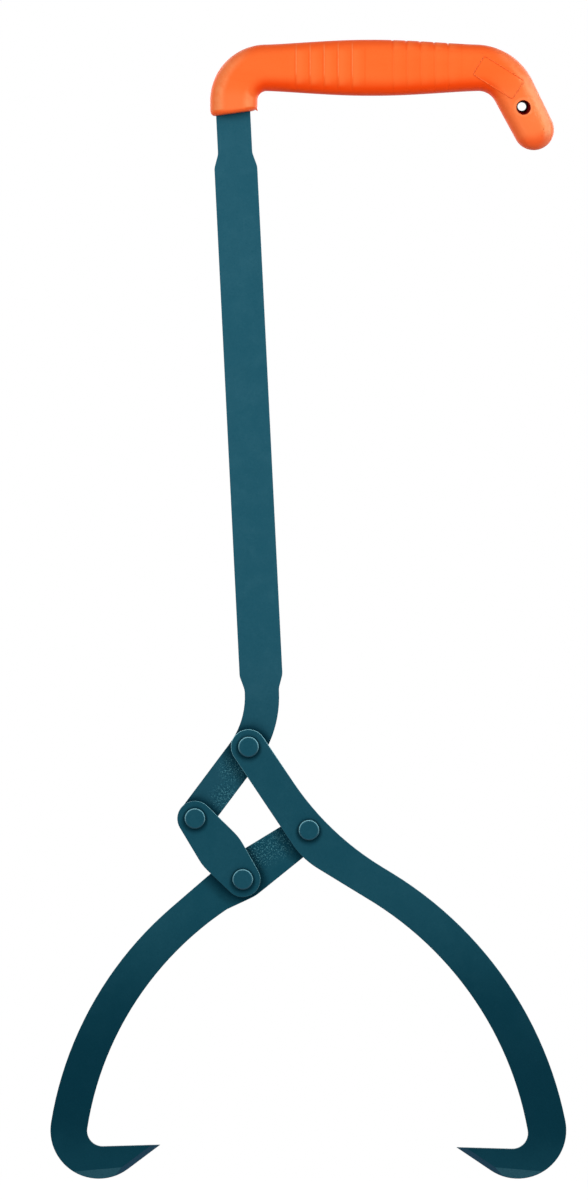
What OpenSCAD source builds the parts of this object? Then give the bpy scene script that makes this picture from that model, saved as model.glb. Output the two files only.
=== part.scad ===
// Long-handled log tongs: a bent flat-steel handle bar with a moulded grip, two hooked arms and a short link.
// X runs to the right, Z up and Y back; every steel plate lies parallel to the XZ plane.
// The origin is the centre of the hanging hole, in the middle of the handle bar's thickness.

/* [Steel plates] */
// Thickness of the handle bar, the arms and the link
plate_t = 5; // [4:0.5:6]
// Gap between the front and the back layer of plates
layer_gap = 0.2; // [0.1:0.1:0.5]

/* [Grip] */
// Thickness of the grip from front to back
grip_t = 25; // [22:1:32]
// Height of the grip at its ends
grip_end_h = 27; // [25:1:32]
// Extra height of the grip at its crowned middle
grip_crown = 5.6; // [0:0.2:8]
// Width of the short leg that the handle bar comes out of
riser_w = 27.6; // [25:0.2:34]
// Distance from the middle of the grip's top part down to the mouth of that leg
riser_drop = 26.6; // [20:0.2:40]
// Slope of the mouth of that leg
mouth_slope = 7.8; // [0:0.2:10]
// Length of the grip between the corners of its centre line
grip_len = 156; // [130:1:190]
// Radius of the centre line in the bend above the shaft
riser_bend_r = 19; // [17:1:24]
// Radius of the centre line in the bend above the tail
tail_bend_r = 24; // [18:1:30]
// Angle of the tail below the horizontal
tail_angle = 62.8; // [45:0.2:75]
// Width of the tail at its round end
tail_w = 23.6; // [21:0.2:30]
// Distance from the tail's bend to the hanging hole
tail_to_hole = 25.4; // [20:0.2:32]
// Distance from the hanging hole to the centre of the tail's round end
hole_to_end = 15.2; // [12:0.2:22]
// Diameter of the round opening in the grip around the hanging hole
recess_d = 8; // [6:0.5:10]
// Squareness of the grip's cross-section, where 2 is an ellipse
grip_square = 2.6; // [2:0.1:4]
// Gap between the handle bar and the grip moulded round it
mould_gap = 0.03; // [0.02:0.01:0.1]

/* [Handle bar] */
// Width of the bar inside the grip, above the joints and down to the link
neck_w = 20; // [16:0.5:21]
// Width of the bar inside the tail of the grip
tang_w = 14; // [12:0.5:16]
// Length of the bar past the hanging hole
tang_end = 9; // [8:0.5:10]
// Diameter of the hanging hole through the bar
hang_d = 5; // [3:0.5:6]
// Width of the long shaft
shaft_w = 25; // [21:0.5:30]
// Lean of the shaft from the vertical
shaft_lean = 2.84; // [0:0.02:6]
// Sideways distance from the grip's bend to the shaft's centre line
shaft_inset = 1.7; // [0:0.2:3]
// Distance along the bar from the middle of the grip to the shaft's upper shoulder
shoulder_top = 50; // [45:1:80]
// Length of each sloping shoulder of the shaft
shoulder_len = 8; // [6:0.5:14]
// Distance along the bar from the middle of the grip to its bend above the jaws
shaft_len = 384; // [250:2:600]
// Distance from the end of the shaft's lower shoulder to that bend
lower_neck = 22; // [21:0.5:40]
// Angle of the bar below the bend, under the horizontal
crank_angle = 53.2; // [45:0.2:65]
// Radius of the centre line in that bend
crank_r = 56; // [30:1:58]
// Distance from that bend to the top pivot
bend_to_pivot = 14.6; // [12:0.2:30]

/* [Linkage] */
// Distance from the top pivot to the link's upper pivot
bar_pin_dist = 52; // [46:0.5:60]
// Length of the link between its pivots
link_len = 45; // [41:0.5:52]
// Distance from the top pivot to the pivot where the arms cross
right_pin_dist = 59.8; // [54:0.2:66]
// Distance from the crossing pivot to the link's lower pivot
left_pin_dist = 48; // [44:0.5:54]
// Angle from the top pivot down to the crossing pivot, under the horizontal
cross_angle = 54; // [46:0.5:62]
// Width of the link at its two corners, before they are rounded
link_w = 27; // [21:0.2:30]
// Distance from the link's upper pivot to those corners, along the link
link_mid = 24.4; // [18:0.2:30]
// Radius of the link's two corners
link_round = 28; // [5:1:40]

/* [Arms] */
// Width of the arms at their upper ends, and of the link at its pivots
eye_w = 20.6; // [18:0.2:23]
// Width of the arms where their long curve starts
arm_w = 20.3; // [18:0.1:24]
// Angle of the right arm's shank under the horizontal
shank_angle = 56.2; // [54:0.2:58]
// Length of the shank from the top pivot to its knee
shank_len = 69.6; // [66:0.2:80]
// Bend of the right arm at its knee
knee_bend = 24.8; // [14:0.2:28]
// Radius of the knee on its hollow side
knee_hollow_r = 165; // [60:5:170]
// Radius of the knee on its round side
knee_round_r = 48; // [10:1:60]
// Straight length of the right arm below its knee
knee_straight = 46.4; // [44:0.2:60]
// Outer radius of the right arm's long curve
right_r = 219; // [190:1:260]
// Angle of that curve
right_sweep = 47.3; // [38:0.1:55]
// Width of the right arm above its hook
right_end_w = 22.6; // [18:0.2:26]
// Bend of the left arm at the link's lower pivot
left_bend = 8.2; // [2:0.2:12]
// Distance from that pivot to the corner in the left arm's upper edge
left_brow = 14.8; // [13:0.2:16]
// Distance from that pivot to the corner in the left arm's lower edge
left_boss = 12.2; // [11:0.2:14]
// Radius of those two corners
left_corner_r = 24; // [5:1:40]
// Angle of the left arm's long curve before its lower edge joins it
boss_join = 5; // [4:0.5:10]
// Outer radius of the left arm's long curve
left_r = 209; // [190:1:260]
// Angle of that curve
left_sweep = 52.4; // [40:0.1:58]
// Width of the left arm above its hook
left_end_w = 21.4; // [18:0.2:26]

/* [Hooks] */
// Outer radius of the hooks
hook_r = 28.2; // [26:0.2:34]
// Radius in the inner corner of the hooks
hook_in_r = 9; // [5:0.2:11]
// Sideways distance from a hook's centre to its point
tip_reach = 35.8; // [33:0.2:44]
// Distance from the right hook's centre down to its point
right_drop = 9.9; // [7:0.1:12]
// Distance from the left hook's centre down to its point
left_drop = 8.4; // [7:0.1:12]
// Fall of a point's upper edge towards its arm
tip_slope = 1.6; // [0:0.2:4]
// Width of the bevel ground along the lower edge of the points
point_bevel_w = 3; // [1:0.2:5]
// Depth of that bevel into each face
point_bevel_d = 1.3; // [0.5:0.1:1.9]
// Width of the bevel across the bottom of the hooks
heel_bevel_w = 5.6; // [1:0.2:8]
// Depth of that bevel into each face
heel_bevel_d = 0.9; // [0.3:0.1:1.5]
// Angle of that bevel to the horizontal, down towards the arm
heel_lean = -5; // [-15:1:10]

/* [Rivets] */
// Diameter of the rivet shanks
rivet_d = 6; // [5:0.5:8]
// Diameter of the rivet heads
head_d = 12; // [10:0.5:14]
// Height of the rivet heads
head_h = 2.2; // [1.5:0.1:3]
// Bevel round the rivet heads
head_bevel = 0.6; // [0.2:0.1:0.9]
// Radial gap between a rivet and the plate that it is set in
set_gap = 0.02; // [0.01:0.01:0.04]
// Radial gap between a rivet and the plate that turns on it
turn_gap = 0.08; // [0.05:0.01:0.1]
// Gap under the rivet head over a turning plate
head_gap = 0.1; // [0.05:0.05:0.3]
// Play round the link's lower rivet in the left arm
slip_gap = 0.4; // [0.3:0.1:0.8]

/* [Hidden] */

// Colours of the painted steel and of the moulded grip
steel_blue = [0.15, 0.33, 0.39];
grip_orange = [1.0, 0.42, 0.17];
// Largest distance between an arc and the chords that it is drawn with
chord_gap = 0.03;
// Points round the grip's cross-section
ring_n = 28;
// Overshoot of a cut past the surface that it opens
eps = 1;

function dir(a) = [cos(a), sin(a)];
function left_of(v) = [-v.y, v.x];
function unit(v) = v / norm(v);
function heading(v) = atan2(v.y, v.x);
function mix(a, b, k) = a + (b - a) * k;
function wrap(a) = a - 360 * round(a / 360);
function turned(v, a) = [v.x * cos(a) - v.y * sin(a), v.x * sin(a) + v.y * cos(a)];
function reversed(p) = [for (i = [len(p) - 1 : -1 : 0]) p[i]];
function flat(p) = [p.x, p.y];

// Number of chords for an arc of radius r that spans angle a
function chords(r, a) = max(2, ceil(abs(a) / (2 * acos(1 - chord_gap / r))));

// Points of an arc round c from angle a0 to a1
function arc(c, r, a0, a1) =
    let (n = chords(r, a1 - a0))
    [for (i = [0 : n]) c + r * dir(mix(a0, a1, i / n))];

// Points of the corner b, between a and c, rounded with radius r
function corner(a, b, c, r) =
    let (
        u = unit(a - b),
        v = unit(c - b),
        half = acos(max(-1, min(1, u * v))) / 2,
        o = b + unit(u + v) * r / sin(half),
        a0 = heading(b + u * r / tan(half) - o),
        a1 = heading(b + v * r / tan(half) - o)
    )
    arc(o, r, a0, a0 + wrap(a1 - a0));

// Path through corners [x, z, radius], each rounded; its first and last point stay as they are
function rounded(p) = [
    for (i = [0 : len(p) - 1])
        each (i == 0 || i == len(p) - 1)
            ? [flat(p[i])]
            : corner(flat(p[i - 1]), flat(p[i]), flat(p[i + 1]), p[i][2])
];

// Crossing of two lines, each given by a point and an angle
function cross_at(p, a, q, b) =
    let (u = dir(a), v = dir(b), w = q - p)
    p + u * (w.x * v.y - w.y * v.x) / (u.x * v.y - u.y * v.x);

// Point at distance r1 from p and r2 from q, to the left of the way from p to q
function meet(p, r1, q, r2) =
    let (
        d = norm(q - p),
        u = (q - p) / d,
        a = (r1 * r1 - r2 * r2 + d * d) / (2 * d)
    )
    p + u * a + left_of(u) * sqrt(r1 * r1 - a * a);

// Angle round c at which a line from the point q touches a circle of radius r, on one side
function touch(c, r, q, side) = heading(q - c) + side * acos(r / norm(q - c));

// Bends of the centre lines of the grip and the handle bar, from the tail downwards
hang_hole = [0, 0];
tail_dir = 180 - tail_angle;
tail_bend = hang_hole + tail_to_hole * dir(tail_dir);
tail_end = hang_hole - hole_to_end * dir(tail_dir);
riser_bend = tail_bend - [grip_len, 0];
riser_end = riser_bend - [0, riser_drop];
shaft_top = riser_bend - [shaft_inset, 0];
shaft_dir = shaft_lean - 90;
crank_dir = crank_angle - 180;
crank = shaft_top + shaft_len * dir(shaft_dir);

// Pivots at rest, in the plane of the plates
pin_top = crank + bend_to_pivot * dir(crank_dir);
pin_upper = pin_top + bar_pin_dist * dir(crank_dir);
pin_cross = pin_top + right_pin_dist * dir(-cross_angle);
pin_lower = meet(pin_cross, left_pin_dist, pin_upper, link_len);
link_dir = heading(pin_lower - pin_upper);
left_dir = heading(pin_lower - pin_cross);

// Turn of the right arm at the two ends of its travel, counter-clockwise from the front as the jaws open
turn_stops = [-47, 34];
// Turn of the link on the handle bar and of the left arm on the right arm, per turn of the right arm
link_ratio = 1.2827;
left_ratio = -0.9981;

// Where the link's lower rivet lies in the left arm when the right arm has turned by t
function slip_point(t) =
    let (
        cross = pin_top + turned(pin_cross - pin_top, t),
        lower = pin_upper + turned(pin_lower - pin_upper, t * link_ratio)
    )
    pin_cross + turned(lower - cross, -t * (1 + left_ratio));

// The handle bar and the left arm lie in the back layer, the right arm and the link in the front one
back_y = -plate_t / 2;
front_y = back_y - layer_gap - plate_t;

// Plate between y and y + t over a flat outline
module slab(y, t) {
    translate([0, y + t, 0]) rotate([90, 0, 0]) linear_extrude(t) children();
}

// Plain round bore along Y through every plate at p
module bore(p, r) {
    translate([p.x, plate_t + eps, p.y]) rotate([90, 0, 0])
        cylinder(h = 3 * plate_t + 2 * eps, r = r, $fn = 96);
}

// Outline at distance r round the counter-clockwise corners p of a convex shape
function around(p, r) = [
    for (i = [0 : len(p) - 1])
        let (
            n = len(p),
            a0 = heading(p[i] - p[(i + n - 1) % n]),
            a1 = heading(p[(i + 1) % n] - p[i])
        )
        each arc(p[i], r, a0 - 90, a0 - 90 + wrap(a1 - a0))
];

// Wedge that bevels both faces of a plate along the line from p at angle a, with the plate on its left
module bevel_cut(p, a, length, y, w, d) {
    wedge = [[-eps, d * (w + eps) / w], [-eps, -eps], [w + w / d * eps, -eps]];
    translate([p.x, y, p.y]) rotate([0, -a, 0]) {
        rotate([90, 0, 90]) linear_extrude(length)
            polygon([for (q = wedge) [q.y, q.x]]);
        translate([0, plate_t, 0]) mirror([0, 1, 0]) rotate([90, 0, 90]) linear_extrude(length)
            polygon([for (q = wedge) [q.y, q.x]]);
    }
}

// Corner on one edge of a band, where its centre line bends at p from angle a to angle b
function band_corner(p, a, b, h, side, r) =
    let (q = cross_at(p + side * h * left_of(dir(a)), a, p + side * h * left_of(dir(b)), b))
    [q.x, q.y, r - side * h * sign(wrap(b - a))];

// Corners of one edge of the shaft between its two necks, moved out by g
function shaft_edge(side, g) =
    let (
        across = side * left_of(dir(shaft_dir)),
        low = shaft_len - lower_neck
    )
    [for (c = [
        [shoulder_top, neck_w / 2],
        [shoulder_top + shoulder_len, shaft_w / 2],
        [low - shoulder_len, shaft_w / 2],
        [low, neck_w / 2]
    ])
        concat(shaft_top + c[0] * dir(shaft_dir) + (c[1] + g) * across, shoulder_len)];

// One edge of the handle bar from the tail of the grip to the link's upper pivot, moved out by g
function bar_edge(side, g) =
    let (
        neck = neck_w / 2 + g,
        start = hang_hole - (tang_end + g) * dir(tail_dir)
            + side * (tang_w / 2 + g) * left_of(dir(tail_dir)),
        bend = cross_at(start, tail_dir, tail_bend - [0, side * neck], 0)
    )
    concat(
        [start],
        [concat(bend, tail_bend_r - side * neck)],
        [band_corner(shaft_top, 180, 360 + shaft_dir, neck, side, riser_bend_r)],
        shaft_edge(side, g),
        [band_corner(crank, shaft_dir, crank_dir, neck, side, crank_r)],
        [pin_upper + side * neck * left_of(dir(crank_dir))]
    );

function bar_outline(g) = concat(
    rounded(bar_edge(1, g)),
    arc(pin_upper, neck_w / 2 + g, crank_dir + 90, crank_dir - 90),
    reversed(rounded(bar_edge(-1, g)))
);

module handle_bar() {
    color(steel_blue)
    difference() {
        slab(back_y, plate_t) polygon(bar_outline(0));
        bore(hang_hole, hang_d / 2);
        bore(pin_top, rivet_d / 2 + set_gap);
        bore(pin_upper, rivet_d / 2 + set_gap);
    }
}

// Stations along the grip from its mouth to its tail: [x, z, angle of the section, half height]
function grip_stations() =
    let (
        end_h = grip_end_h / 2,
        x0 = riser_bend.x + riser_bend_r,
        x1 = tail_bend.x - tail_bend_r * tan((180 - tail_dir) / 2),
        c0 = riser_bend + [riser_bend_r, -riser_bend_r],
        c1 = [x1, tail_bend.y - tail_bend_r],
        bend_end = c1 + tail_bend_r * dir(90 - tail_angle)
    )
    concat(
        [for (k = [0, 0.12, 0.5])
            concat(mix(riser_end, [riser_end.x, c0.y], k), mix(180 + mouth_slope, 180, k), riser_w / 2)],
        [for (a = [180 : -15 : 105])
            concat(c0 + riser_bend_r * dir(a), a, mix(end_h, riser_w / 2, (a - 90) / 90))],
        [for (k = [0 : 1 / 14 : 1.001])
            [mix(x0, x1, k), riser_bend.y, 90, end_h + grip_crown / 2 * pow(sin(180 * k), 1.3)]],
        [for (k = [0.2 : 0.2 : 1.001])
            let (a = 90 - k * tail_angle)
            concat(c1 + tail_bend_r * dir(a), a, mix(end_h, tail_w / 2 + 0.6, k))],
        [for (k = [0.33, 0.66, 1])
            concat(mix(bend_end, tail_end, k), 90 - tail_angle, tail_w / 2 + 0.6 * (1 - k))],
        [for (a = [15 : 15 : 75])
            concat(tail_end - tail_w / 2 * sin(a) * dir(tail_dir), 90 - tail_angle, tail_w / 2 * cos(a))]
    );

// Signed power, for a rounded box section
function spow(v, p) = sign(v) * pow(abs(v), p);

module grip_body() {
    stations = grip_stations();
    n = len(stations);
    points = concat(
        [for (s = stations)
            let (t = grip_t / 2 * min(1, s[3] / (tail_w / 2)))
            for (i = [0 : ring_n - 1])
                let (
                    c = spow(cos(360 * i / ring_n), 2 / grip_square),
                    y = spow(sin(360 * i / ring_n), 2 / grip_square),
                    q = flat(s) + s[3] * c * dir(s[2])
                )
                [q.x, t * y, q.y]],
        [let (q = tail_end - tail_w / 2 * dir(tail_dir)) [q.x, 0, q.y]]
    );
    faces = concat(
        [[for (i = [ring_n - 1 : -1 : 0]) i]],
        [for (s = [0 : n - 2], i = [0 : ring_n - 1])
            let (a = s * ring_n + i, b = s * ring_n + (i + 1) % ring_n)
            each [[a, b, b + ring_n], [a, b + ring_n, a + ring_n]]],
        [for (i = [0 : ring_n - 1])
            [(n - 1) * ring_n + i, (n - 1) * ring_n + (i + 1) % ring_n, n * ring_n]]
    );
    polyhedron(points, faces);
}

module grip() {
    color(grip_orange)
    difference() {
        grip_body();
        slab(back_y - mould_gap, plate_t + 2 * mould_gap) polygon(bar_outline(mould_gap));
        translate([0, grip_t / 2 + eps, 0]) rotate([90, 0, 0])
            cylinder(h = grip_t + 2 * eps, d = recess_d, $fn = 96);
    }
}

// An arm's long curve on the right-hand side is a list: centre, outer radius, angle where it starts,
// angle where the hook starts, width at the hook, and the drop from the hook's centre to its point
function hook_centre(c) = c[0] + (c[1] - hook_r) * dir(c[3]);
function hook_tip(c) = hook_centre(c) - [tip_reach, c[5]];
function hook_touch(c) = touch(hook_centre(c), hook_r, hook_tip(c), 1);

// Point on the inner edge of a long curve at angle a
function inner_point(c, a) = c[0] + (c[1] - mix(arm_w, c[4], (a - c[2]) / (c[3] - c[2]))) * dir(a);

// Outer edge of an arm, from angle a of its long curve to its point
function outer_edge(c, a) = concat(
    arc(c[0], c[1], a, c[3]),
    arc(hook_centre(c), hook_r, c[3], hook_touch(c)),
    [hook_tip(c)]
);

// Centre of the rounding in a hook's inner corner
function inner_round(c) =
    let (
        u = dir(-tip_slope),
        q = hook_tip(c) + hook_in_r * dir(90 - tip_slope) - c[0],
        r = c[1] - c[4] - hook_in_r
    )
    c[0] + q + (sqrt(pow(q * u, 2) - q * q + r * r) - q * u) * u;

// Inner edge of an arm, from the hook's inner corner back up to angle a
function inner_edge(c, a) =
    let (
        f = inner_round(c),
        end = heading(f - c[0]),
        n = chords(c[1], a - end)
    )
    concat(
        arc(f, hook_in_r, -90 - tip_slope, end),
        [for (i = [1 : n]) inner_point(c, mix(end, a, i / n))]
    );

// Bevels ground into a hook, along its point and across its heel
module hook_bevels(c, y) {
    tip = hook_tip(c);
    foot = hook_centre(c) + hook_r * dir(hook_touch(c));
    point_dir = heading(foot - tip);
    heel = hook_centre(c) + hook_r * dir(heel_lean - 90) - hook_r * dir(heel_lean);
    bevel_cut(tip - 3 * dir(point_dir), point_dir, norm(foot - tip) + 12, y, point_bevel_w, point_bevel_d);
    bevel_cut(heel, heel_lean, 2 * hook_r, y, heel_bevel_w, heel_bevel_d);
}

// Right arm: shank to the crossing pivot, knee, long curve and hook
knee = pin_top + shank_len * dir(-shank_angle);
low_dir = knee_bend - shank_angle;
right_m = knee + knee_straight * dir(low_dir) + (arm_w / 2 - right_r) * left_of(dir(low_dir));
right_a0 = low_dir + 90;
right_curve = [right_m, right_r, right_a0, right_a0 - right_sweep, right_end_w, right_drop];

// Corner of one edge of the right arm at its knee, where that edge's width changes from the eye's to the arm's
function knee_corner(side) =
    let (across = side * left_of(dir(-shank_angle)))
    cross_at(
        pin_top + eye_w / 2 * across, -shank_angle,
        knee + side * arm_w / 2 * left_of(dir(low_dir)), low_dir
    );

function right_outline() =
    let (
        across = eye_w / 2 * left_of(dir(-shank_angle)),
        outer = outer_edge(right_curve, right_a0),
        inner = inner_edge(right_curve, right_a0)
    )
    concat(
        arc(pin_top, eye_w / 2, 270 - shank_angle, 90 - shank_angle),
        corner(pin_top + across, knee_corner(1), outer[0], knee_hollow_r),
        outer,
        inner,
        corner(inner[len(inner) - 1], knee_corner(-1), pin_top - across, knee_round_r)
    );

module right_arm() {
    color(steel_blue)
    difference() {
        slab(front_y, plate_t) polygon(right_outline());
        bore(pin_top, rivet_d / 2 + turn_gap);
        bore(pin_cross, rivet_d / 2 + set_gap);
        hook_bevels(right_curve, front_y);
    }
}

// Left arm: its outline is drawn on the right-hand side and mirrored about its curve's centre
curve_dir = left_dir - left_bend;
left_m = pin_lower + (left_r - arm_w / 2) * left_of(dir(curve_dir));
left_a0 = wrap(270 - curve_dir);
left_curve = [left_m, left_r, left_a0, left_a0 - left_sweep, left_end_w, left_drop];

// Mirror image about the upright line through the left arm's curve centre
function flip(p) = [2 * left_m.x - p.x, p.y];

function left_outline() =
    let (
        eye = flip(pin_cross),
        brow = flip(pin_lower - left_brow * left_of(dir(left_dir))),
        boss = flip(pin_lower + left_boss * left_of(dir(left_dir))),
        r = eye_w / 2,
        high = touch(eye, r, brow, 1),
        low = touch(eye, r, boss, -1),
        outer = outer_edge(left_curve, touch(left_m, left_r, brow, -1)),
        inner = inner_edge(left_curve, left_a0 - boss_join)
    )
    [for (p = concat(
        arc(eye, r, low + 360, high),
        corner(eye + r * dir(high), brow, outer[0], left_corner_r),
        outer,
        inner,
        corner(inner[len(inner) - 1], boss, eye + r * dir(low), left_corner_r)
    )) flip(p)];

module left_arm() {
    color(steel_blue)
    difference() {
        slab(back_y, plate_t) polygon(left_outline());
        bore(pin_cross, rivet_d / 2 + turn_gap);
        slab(back_y - eps, plate_t + 2 * eps) polygon(around(
            [for (t = [0, turn_stops[0] / 2, turn_stops[0], turn_stops[1]]) slip_point(t)],
            rivet_d / 2 + slip_gap
        ));
        translate([2 * left_m.x, 0, 0]) mirror([1, 0, 0]) hook_bevels(left_curve, back_y);
    }
}

// Link: two eyes joined by straight edges that meet at a rounded corner on either side
function link_outline() =
    let (
        r = eye_w / 2,
        mid = pin_upper + link_mid * dir(link_dir),
        up = mid + link_w / 2 * left_of(dir(link_dir)),
        low = mid - link_w / 2 * left_of(dir(link_dir)),
        b0 = touch(pin_upper, r, up, 1),
        b1 = touch(pin_upper, r, low, -1) + 360,
        c0 = touch(pin_lower, r, low, 1) - 360,
        c1 = touch(pin_lower, r, up, -1)
    )
    concat(
        arc(pin_upper, r, b0, b1),
        corner(pin_upper + r * dir(b1), low, pin_lower + r * dir(c0), link_round),
        arc(pin_lower, r, c0, c1),
        corner(pin_lower + r * dir(c1), up, pin_upper + r * dir(b0), link_round)
    );

module link() {
    color(steel_blue)
    difference() {
        slab(front_y, plate_t) polygon(link_outline());
        bore(pin_upper, rivet_d / 2 + turn_gap);
        bore(pin_lower, rivet_d / 2 + set_gap);
    }
}

// Rivet through both layers at p; the head over the plate that turns on it stands off by head_gap
module rivet(p, front_gap, rear_gap) {
    y0 = front_y - front_gap;
    y1 = back_y + plate_t + rear_gap;
    r = head_d / 2;
    head = [[0, 0], [r, 0], [r, head_h - head_bevel], [r - head_bevel, head_h], [0, head_h]];
    color(steel_blue)
    translate([p.x, y0, p.y]) {
        rotate([-90, 0, 0]) cylinder(h = y1 - y0, d = rivet_d, $fn = 96);
        rotate([90, 0, 0]) rotate_extrude($fn = 96) polygon(head);
        translate([0, y1 - y0, 0]) rotate([-90, 0, 0]) rotate_extrude($fn = 96) polygon(head);
    }
}

module top_rivet() {
    rivet(pin_top, head_gap, 0);
}

module cross_rivet() {
    rivet(pin_cross, 0, head_gap);
}

module link_upper_rivet() {
    rivet(pin_upper, head_gap, 0);
}

module link_lower_rivet() {
    rivet(pin_lower, 0, head_gap);
}

handle_bar();
grip();
right_arm();
left_arm();
link();
top_rivet();
cross_rivet();
link_upper_rivet();
link_lower_rivet();
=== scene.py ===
import math

import bmesh
import bpy
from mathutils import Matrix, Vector
from mathutils.bvhtree import BVHTree


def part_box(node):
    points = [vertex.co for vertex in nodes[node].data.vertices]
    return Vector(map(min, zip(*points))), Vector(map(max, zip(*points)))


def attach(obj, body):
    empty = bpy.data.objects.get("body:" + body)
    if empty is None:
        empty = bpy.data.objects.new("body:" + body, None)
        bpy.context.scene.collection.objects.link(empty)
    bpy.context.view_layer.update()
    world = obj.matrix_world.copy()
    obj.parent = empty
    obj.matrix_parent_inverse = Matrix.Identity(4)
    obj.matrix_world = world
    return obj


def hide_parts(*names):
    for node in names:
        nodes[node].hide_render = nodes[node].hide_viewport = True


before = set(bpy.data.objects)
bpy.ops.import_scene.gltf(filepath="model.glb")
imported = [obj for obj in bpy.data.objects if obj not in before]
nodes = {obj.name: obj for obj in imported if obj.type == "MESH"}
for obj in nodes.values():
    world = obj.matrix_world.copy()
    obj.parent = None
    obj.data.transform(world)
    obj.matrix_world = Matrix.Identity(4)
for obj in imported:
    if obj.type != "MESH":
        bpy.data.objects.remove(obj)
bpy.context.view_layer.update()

MM = 0.001

PLATES = ("handle_bar", "right_arm", "left_arm", "link")
RIVETS = ("top_rivet", "cross_rivet", "link_upper_rivet", "link_lower_rivet")

# How far the ground facets of the hooks face along Y. The heel's is 0.9 mm deep over 5.6 mm, the
# point's 1.3 mm over 3 mm, so they lean 9 and 23 degrees away from the plate's faces.
HEEL_LEAN = math.cos(math.atan(0.9 / 5.6))
POINT_LEAN = math.cos(math.atan(1.3 / 3.0))

# Ribs of the grip: the first hollow's place along X and the pitch, in millimetres
RIBS = 5
LEFT_FIRST, LEFT_PITCH = -131.9, 8.16
RIGHT_FIRST, RIGHT_PITCH = -75.4, 8.1


# ---------------------------------------------------------------- camera
# The photograph looks straight at the flat side of the plates, with next to no perspective.
PHOTO_HEIGHT = 1200
PIXEL = 0.5833 * MM             # a pixel of the photograph, at the plates
HOLE_PX = (521.8, 107.2)        # the hanging hole, which is the frame's origin
MIDDLE_PX = (294.5, 599.5)
FOCUS_Y = -2.5 * MM
DISTANCE = 8.0
OUTLINE_FIT = 1.0025            # brings the outline to the photograph's size
SENSOR = 36


def add_object(name, data):
    obj = bpy.data.objects.new(name, data)
    bpy.context.scene.collection.objects.link(obj)
    return obj


camera_data = bpy.data.cameras.new("camera")
camera_data.sensor_fit = "AUTO"
camera_data.sensor_width = SENSOR
camera_data.lens = SENSOR * DISTANCE / (PHOTO_HEIGHT * PIXEL) * OUTLINE_FIT
camera_data.clip_start, camera_data.clip_end = 0.05, 60
camera = add_object("camera", camera_data)
camera.location = (
    (MIDDLE_PX[0] - HOLE_PX[0]) * PIXEL, FOCUS_Y - DISTANCE, (HOLE_PX[1] - MIDDLE_PX[1]) * PIXEL)
camera.rotation_euler = (math.radians(90), 0, 0)
bpy.context.scene.camera = camera
bpy.context.scene.view_settings.view_transform = "Standard"


# ---------------------------------------------------------------- node helpers
def put(tree, kind, values=(), **props):
    """Adds a node; a value that is a socket is linked, and any other is set on the input."""
    n = tree.nodes.new(kind)
    for k, v in props.items():
        setattr(n, k, v)
    for k, v in dict(values).items():
        if isinstance(v, bpy.types.NodeSocket):
            tree.links.new(v, n.inputs[k])
        else:
            n.inputs[k].default_value = v
    return n


def math_node(tree, op, a, b=0.0, clamp=False):
    return put(tree, "ShaderNodeMath", {0: a, 1: b}, operation=op, use_clamp=clamp).outputs[0]


def times(tree, product, *factors):
    for factor in factors:
        product = math_node(tree, "MULTIPLY", product, factor)
    return product


def vector_node(tree, op, a, b):
    return put(tree, "ShaderNodeVectorMath", {0: a, 1: b}, operation=op).outputs


def parts_of(tree, vector):
    """The sockets X, Y and Z of a vector."""
    return put(tree, "ShaderNodeSeparateXYZ", {"Vector": vector}).outputs


def stretch(tree, where, scale):
    return put(tree, "ShaderNodeMapping", {"Vector": where, "Scale": scale}).outputs[0]


def flatten(tree, where):
    """Place along X and Z alone."""
    return vector_node(tree, "MULTIPLY", where, (1.0, 0.0, 1.0))[0]


def ramp(tree, value, low, high, to_low=0.0, to_high=1.0):
    """Value from low to high, remapped smoothly."""
    n = put(
        tree, "ShaderNodeMapRange",
        {"Value": value, "From Min": low, "From Max": high, "To Min": to_low, "To Max": to_high},
        interpolation_type="SMOOTHSTEP",
    )
    return n.outputs["Result"]


def noise(tree, where, scale, detail, rough=0.55):
    n = put(
        tree, "ShaderNodeTexNoise",
        {"Vector": where, "Scale": scale, "Detail": detail, "Roughness": rough},
    )
    return n.outputs["Fac"]


def mix_colour(tree, fac, a, b):
    n = put(tree, "ShaderNodeMix", data_type="RGBA", blend_type="MIX", clamp_factor=True)
    for name, v in (("Factor_Float", fac), ("A_Color", a), ("B_Color", b)):
        s = next(i for i in n.inputs if i.identifier == name)
        if isinstance(v, bpy.types.NodeSocket):
            tree.links.new(v, s)
        else:
            s.default_value = v
    return next(o for o in n.outputs if o.identifier == "Result_Color")


def mix_vector(tree, fac, a, b):
    n = put(tree, "ShaderNodeMix", data_type="VECTOR")
    for name, v in (("Factor_Float", fac), ("A_Vector", a), ("B_Vector", b)):
        tree.links.new(v, next(i for i in n.inputs if i.identifier == name))
    return next(o for o in n.outputs if o.identifier == "Result_Vector")


def near(tree, where, centre, radius, fade):
    """1 within radius of a point of the object, falling to 0 over fade, in metres."""
    d = vector_node(tree, "DISTANCE", where, centre)["Value"]
    return ramp(tree, d, radius, radius + fade, 1.0, 0.0)


def near_any(tree, where, spots, least):
    """The most that near gives for any (centre, radius, fade) in spots, but no less than least."""
    for spot in spots:
        least = math_node(tree, "MAXIMUM", least, near(tree, where, *spot))
    return least


def crevice(tree, reach):
    """1 deep in a corner or gap, 0 in the open."""
    ao = put(tree, "ShaderNodeAmbientOcclusion", {"Distance": reach}, samples=8)
    return ramp(tree, ao.outputs["AO"], 0.95, 0.64)


def bump(tree, height, strength, depth, **over):
    """Normal from a height, with depth in metres, over the normal given as Normal."""
    values = {"Strength": strength, "Distance": depth, "Height": height}
    return put(tree, "ShaderNodeBump", {**values, **over}).outputs[0]


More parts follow.
